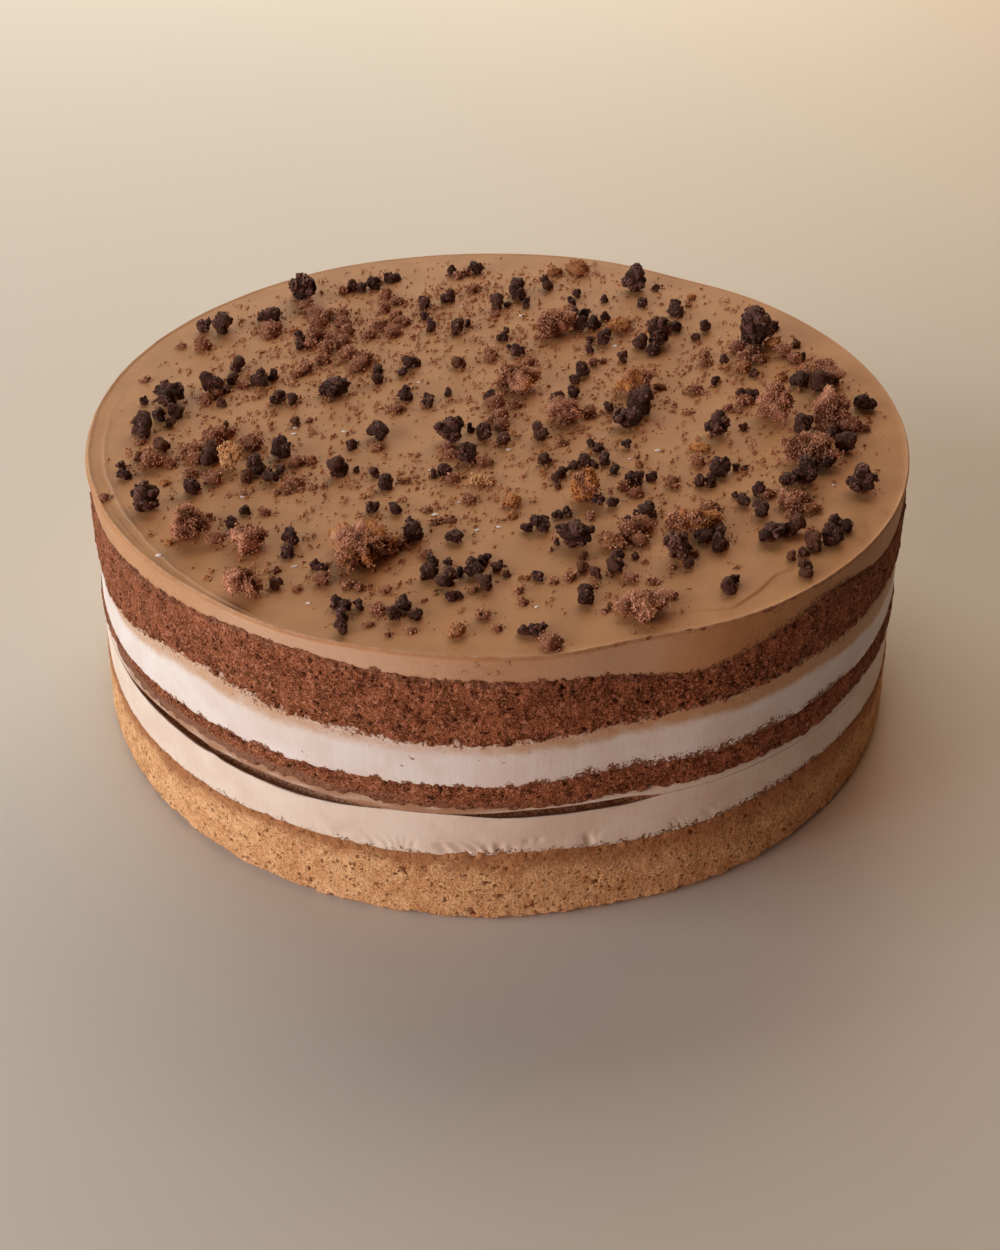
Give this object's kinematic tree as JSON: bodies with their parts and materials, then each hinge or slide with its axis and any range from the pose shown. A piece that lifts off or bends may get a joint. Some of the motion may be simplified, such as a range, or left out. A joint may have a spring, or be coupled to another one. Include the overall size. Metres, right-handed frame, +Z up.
{
  "type": "layer cake",
  "caption": "Round uncut layer cake: golden base sponge, thin and thick cocoa sponges, pale cream between them, mocha cream on top, scattered with dark and soft cocoa crumbs.",
  "frame": {"origin": "middle of the cake's base, on the surface that it stands on", "axes": "+Z up through the layers, -Y towards the side that shows the slit under the middle sponge, +X to the right of that side"},
  "size_m": [0.2377, 0.2374, 0.093],
  "materials": {
    "golden_sponge": "matt open crumb, golden tan with mocha specks",
    "cocoa_sponge": "matt open crumb, reddish cocoa brown",
    "pale_cream": "satin whipped cream, wiped by a knife",
    "mocha_cream": "satin cocoa cream, spread by a palette knife",
    "dark_crumb": "rough dry dark cocoa crumb",
    "sponge_crumb": "matt soft cocoa sponge crumb"
  },
  "bodies": {
    "root": {"base_sponge": "golden_sponge", "lower_cream": "pale_cream", "middle_sponge": "cocoa_sponge", "upper_cream": "pale_cream", "top_sponge": "cocoa_sponge", "top_cream": "mocha_cream", "sponge_chunk_01": "sponge_crumb", "sponge_chunk_02": "sponge_crumb", "sponge_chunk_03": "sponge_crumb", "sponge_chunk_04": "sponge_crumb", "sponge_chunk_05": "sponge_crumb", "sponge_chunk_06": "sponge_crumb", "sponge_chunk_07": "sponge_crumb", "sponge_chunk_08": "sponge_crumb", "sponge_chunk_09": "sponge_crumb", "sponge_chunk_10": "sponge_crumb", "sponge_chunk_11": "sponge_crumb", "sponge_chunk_12": "sponge_crumb", "sponge_chunk_13": "sponge_crumb", "sponge_chunk_14": "sponge_crumb", "sponge_chunk_15": "sponge_crumb", "sponge_chunk_16": "sponge_crumb", "cocoa_nugget_01": "dark_crumb", "cocoa_nugget_02": "dark_crumb", "cocoa_nugget_03": "dark_crumb", "cocoa_nugget_04": "dark_crumb", "cocoa_nugget_05": "dark_crumb", "cocoa_nugget_06": "dark_crumb", "cocoa_nugget_07": "dark_crumb", "cocoa_nugget_08": "dark_crumb", "cocoa_nugget_09": "dark_crumb", "cocoa_nugget_10": "dark_crumb", "cocoa_nugget_11": "dark_crumb", "cocoa_nugget_12": "dark_crumb", "cocoa_nugget_13": "dark_crumb", "cocoa_nugget_14": "dark_crumb", "cocoa_nugget_15": "dark_crumb"}
  },
  "joints": []
}
